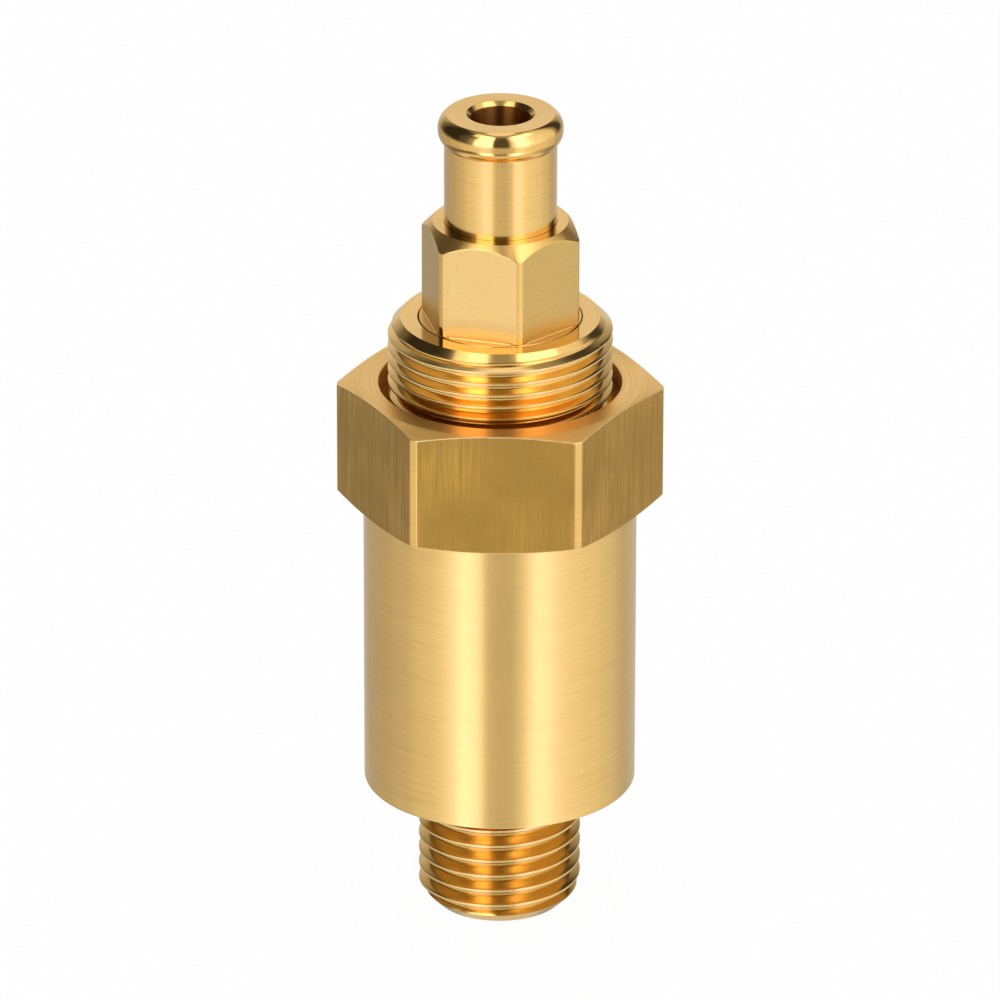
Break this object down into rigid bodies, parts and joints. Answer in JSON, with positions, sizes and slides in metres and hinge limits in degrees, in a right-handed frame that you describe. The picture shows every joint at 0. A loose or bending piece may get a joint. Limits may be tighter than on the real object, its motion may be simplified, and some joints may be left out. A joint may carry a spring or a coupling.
{
  "type": "expansion valve",
  "caption": "Adjustable spring-loaded brass expansion valve: male threaded inlet, cylindrical body, lock nut on a threaded adjusting bush, and a beaded hose spigot as drain outlet.",
  "frame": {"origin": "centre of the inlet thread's end face, the lowest point of the valve", "axes": "+Z along the valve's axis, from the inlet to the hose spigot; -Y is the side that the picture shows"},
  "size_m": [0.0262, 0.0234, 0.0686],
  "materials": {
    "brass_body": "fine turned, brushed round the axis",
    "brass_turned": "bright turned",
    "brass_drawn": "dull drawn flats, bright turned chamfers",
    "stainless": "bright",
    "rubber_seal": "matt",
    "white_seal": "matt"
  },
  "bodies": {
    "body": {"valve_body": "brass_body", "seat_nozzle": "stainless", "seat_gasket": "white_seal", "spring": "stainless"},
    "plunger": {"plunger": "brass_turned", "seal_disc": "rubber_seal"},
    "spring_plate": {"spring_plate": "brass_turned"},
    "adjuster": {"adjusting_bush": "brass_turned", "outlet_gasket": "white_seal", "outlet_hex": "brass_turned", "hose_spigot": "brass_turned"},
    "nut_ring": {"nut_seal_ring": "white_seal"},
    "lock_nut": {"lock_nut": "brass_drawn"}
  },
  "joints": [
    {"name": "plunger_lift", "type": "slide", "parent": "body", "child": "plunger", "axis": [0, 0, 1], "range_m": [0, 0.0015], "stiffness_N_per_m": 6100, "deforming": ["spring"]},
    {"name": "adjuster_rise", "type": "slide", "parent": "body", "child": "spring_plate", "axis": [0, 0, 1], "range_m": [-0.003, 0.002], "deforming": ["spring"]},
    {"name": "adjuster_turn", "type": "hinge", "parent": "spring_plate", "child": "adjuster", "pos_m": [0, 0, 0.04165], "axis": [0, 0, 1], "range_deg": [-1080, 720]},
    {"name": "lock_nut_rise", "type": "slide", "parent": "body", "child": "nut_ring", "axis": [0, 0, 1], "range_m": [0, 0.004]},
    {"name": "lock_nut_turn", "type": "hinge", "parent": "nut_ring", "child": "lock_nut", "pos_m": [0, 0, 0.0367], "axis": [0, 0, 1], "range_deg": [0, 1440]}
  ],
  "couplings": [
    {"joint": "adjuster_turn", "follows": "adjuster_rise", "rad_per_m": 6283.1},
    {"joint": "lock_nut_turn", "follows": "lock_nut_rise", "rad_per_m": 6283.1}
  ]
}
